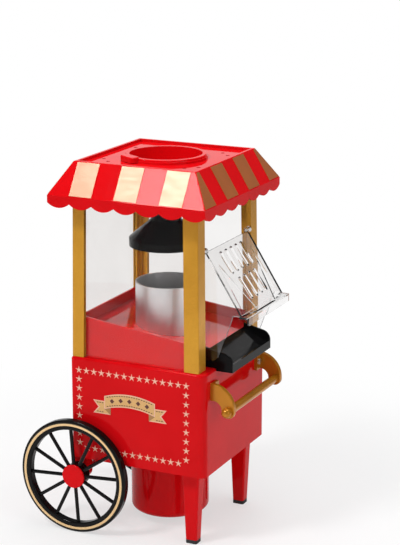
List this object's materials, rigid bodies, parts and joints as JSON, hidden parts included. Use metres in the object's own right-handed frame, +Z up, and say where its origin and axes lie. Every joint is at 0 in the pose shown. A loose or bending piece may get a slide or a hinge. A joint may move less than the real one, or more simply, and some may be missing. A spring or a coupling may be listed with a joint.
{
  "type": "popcorn maker",
  "caption": "Hot-air popcorn maker shaped like a fairground cart: red box on spoked wheels, glazed cabin, striped canopy roof, clear serving flap over a chute, push handle.",
  "frame": {"origin": "middle of the cart's outline, on the surface that it stands on", "axes": "+X towards the front with flap and handle, +Y towards the right wheel as seen by someone in front of the flap, +Z up"},
  "size_m": [0.2422, 0.1822, 0.393],
  "materials": {
    "red_gloss": "glossy red moulding",
    "gold_plastic": "gold lacquer",
    "gold_foil": "satin gold foil",
    "clear_plastic": "clear polished",
    "black_gloss": "glossy black moulding",
    "black_matte": "satin black moulding",
    "red_switch": "glossy red",
    "dark_rubber": "matte",
    "bright_metal": "bright drawn sheet",
    "steel": "plated",
    "mica": "layered mica sheet"
  },
  "bodies": {
    "cart": {"axle_bracket_left": "red_gloss", "axle_bracket_right": "red_gloss", "axle_clips": "steel", "base_floor": "red_gloss", "base_housing": "red_gloss", "base_screws": "steel", "cabin_crown": "red_gloss", "cabin_ramp": "red_gloss", "chamber_screws": "steel", "cord_gland": "black_matte", "crown_screws": "steel", "fan_motor": "steel", "flap_hinge_pins": "steel", "funnel_screws": "steel", "handle_arm_left": "gold_plastic", "handle_arm_right": "gold_plastic", "handle_bar": "gold_plastic", "handle_knobs": "gold_plastic", "handle_screws": "steel", "heater_duct": "bright_metal", "heating_coil": "steel", "kernel_funnel": "black_gloss", "leg_front_left": "red_gloss", "leg_front_right": "red_gloss", "leg_screws": "steel", "mica_frame": "mica", "motor_can": "red_gloss", "motor_can_screws": "steel", "motor_mount": "steel", "motor_screws": "steel", "popcorn_hood": "black_gloss", "popping_chamber": "bright_metal", "popping_tube": "bright_metal", "post_front_left": "gold_plastic", "post_front_right": "gold_plastic", "post_rear_left": "gold_plastic", "post_rear_right": "gold_plastic", "roof_canopy": "red_gloss", "roof_screws": "steel", "roof_stripes": "gold_foil", "rubber_feet": "dark_rubber", "serving_chute": "black_gloss", "switch_body": "black_matte", "thermal_cutout": "black_matte", "wheel_axle": "steel", "window_left": "clear_plastic", "window_rear": "clear_plastic", "window_right": "clear_plastic"},
    "flap": {"serving_flap": "clear_plastic"},
    "cup": {"measuring_cup": "red_gloss"},
    "left_wheel": {"wheel_left": "black_matte", "wheel_trim_left": "gold_foil", "hub_cap_left": "red_gloss"},
    "right_wheel": {"wheel_right": "black_matte", "wheel_trim_right": "gold_foil", "hub_cap_right": "red_gloss"},
    "fan": {"fan_shaft": "steel", "fan_impeller": "black_matte"},
    "rocker": {"switch_rocker": "red_switch"}
  },
  "joints": [
    {"name": "flap_hinge", "type": "hinge", "parent": "cart", "child": "flap", "pos_m": [0.07294, 0, 0.307], "axis": [0, -1, 0], "range_deg": [0, 70]},
    {"name": "cup_lift", "type": "slide", "parent": "cart", "child": "cup", "axis": [0, 0, 1], "range_m": [0, 0.06]},
    {"name": "left_wheel_spin", "type": "hinge", "parent": "cart", "child": "left_wheel", "pos_m": [-0.06009, -0.085, 0.061], "axis": [0, 1, 0], "continuous": true},
    {"name": "right_wheel_spin", "type": "hinge", "parent": "cart", "child": "right_wheel", "pos_m": [-0.06009, 0.085, 0.061], "axis": [0, 1, 0], "continuous": true},
    {"name": "fan_spin", "type": "hinge", "parent": "cart", "child": "fan", "pos_m": [0.00821, 0, 0.05], "axis": [0, 0, 1], "continuous": true},
    {"name": "switch_rock", "type": "hinge", "parent": "cart", "child": "rocker", "pos_m": [-0.06629, 0.032, 0.108], "axis": [0, 1, 0], "range_deg": [0, 16]}
  ]
}
